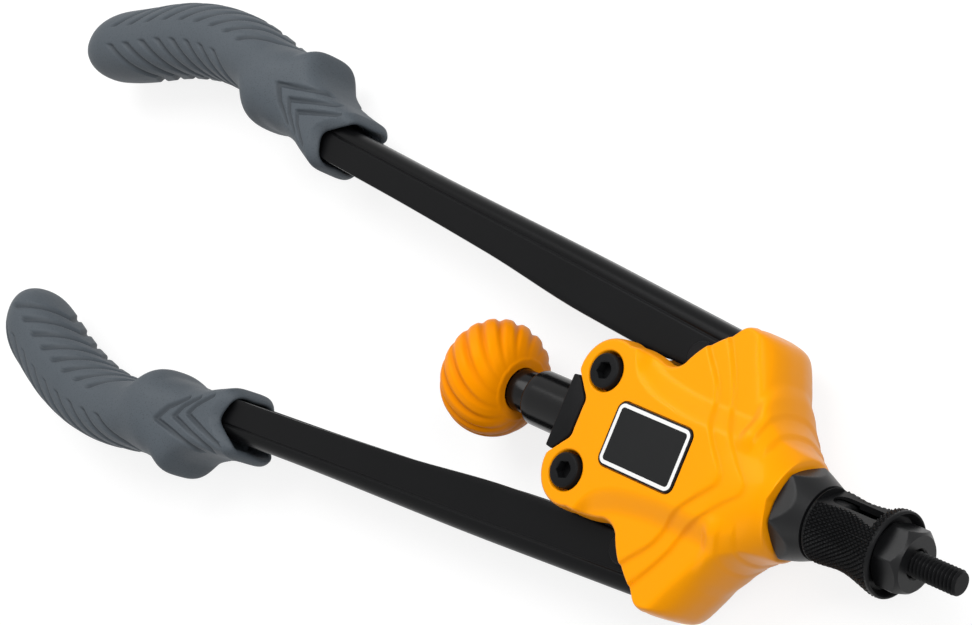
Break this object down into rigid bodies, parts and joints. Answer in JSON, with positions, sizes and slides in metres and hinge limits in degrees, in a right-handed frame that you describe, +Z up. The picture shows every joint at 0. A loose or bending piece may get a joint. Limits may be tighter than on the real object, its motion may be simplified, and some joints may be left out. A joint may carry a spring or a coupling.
{
  "type": "lever rivet nut tool",
  "caption": "Two-handed lever tool that screws on a rivet nut and sets it by pulling a threaded mandrel back through an anvil when the grips close.",
  "frame": {"origin": "point on the flat underside of the head casting, below the line of the two lever pins", "axes": "+X along the mandrel's axis towards the nose, +Y towards the left lever, +Z up out of the upper face with the tool lying flat"},
  "size_m": [0.359, 0.1347, 0.0319],
  "materials": {
    "yellow_enamel": "gloss enamel on die casting",
    "yellow_knob_plastic": "satin moulded",
    "black_lacquer": "gloss black lacquer",
    "black_oxide_steel": "black oxide, satin",
    "bright_steel": "machined",
    "bronze": "plain bearing bronze",
    "grey_rubber": "fine matt texture",
    "badge_black": "satin black plate, bare"
  },
  "bodies": {
    "head": {"housing": "yellow_enamel", "badge_plate": "badge_black", "rear_block": "black_oxide_steel", "rack_tube": "black_oxide_steel", "left_bolt": "black_oxide_steel", "right_bolt": "black_oxide_steel", "left_bolt_nut": "black_oxide_steel", "right_bolt_nut": "black_oxide_steel"},
    "crosshead": {"yoke": "bright_steel", "guide_sleeve": "black_lacquer", "front_thrust_washer": "bronze", "left_lever_pin": "black_oxide_steel", "right_lever_pin": "black_oxide_steel", "left_pin_clip": "bright_steel", "right_pin_clip": "bright_steel"},
    "left_lever": {"left_arm": "black_lacquer", "left_toothed_head": "bright_steel", "left_grip": "grey_rubber"},
    "right_lever": {"right_arm": "black_lacquer", "right_toothed_head": "bright_steel", "right_grip": "grey_rubber"},
    "spindle": {"pull_rod": "black_oxide_steel", "knob": "yellow_knob_plastic", "knob_grub_screw": "black_oxide_steel", "mandrel_coupling": "black_oxide_steel", "mandrel": "black_oxide_steel"},
    "nose": {"nose_sleeve": "black_oxide_steel", "anvil": "black_oxide_steel"},
    "locking_nut": {"lock_nut": "black_oxide_steel"}
  },
  "joints": [
    {"name": "yoke_slide", "type": "slide", "parent": "head", "child": "crosshead", "axis": [1, 0, 0], "range_m": [-0.00073, 0.00712]},
    {"name": "left_lever_hinge", "type": "hinge", "parent": "crosshead", "child": "left_lever", "pos_m": [0, 0.024, 0.0155], "axis": [0, 0, 1], "range_deg": [-34, 3.5]},
    {"name": "right_lever_hinge", "type": "hinge", "parent": "crosshead", "child": "right_lever", "pos_m": [0, -0.024, 0.0155], "axis": [0, 0, 1], "range_deg": [-3.5, 34]},
    {"name": "spindle_spin", "type": "hinge", "parent": "crosshead", "child": "spindle", "pos_m": [0, 0, 0.0155], "axis": [1, 0, 0], "continuous": true},
    {"name": "nose_turn", "type": "hinge", "parent": "head", "child": "nose", "pos_m": [0.055, 0, 0.0155], "axis": [1, 0, 0], "continuous": true},
    {"name": "lock_nut_turn", "type": "hinge", "parent": "head", "child": "locking_nut", "pos_m": [0.0418, 0, 0.0155], "axis": [1, 0, 0], "continuous": true}
  ],
  "couplings": [
    {"joint": "left_lever_hinge", "follows": "yoke_slide", "rad_per_m": -83.333},
    {"joint": "right_lever_hinge", "follows": "yoke_slide", "rad_per_m": 83.333}
  ]
}
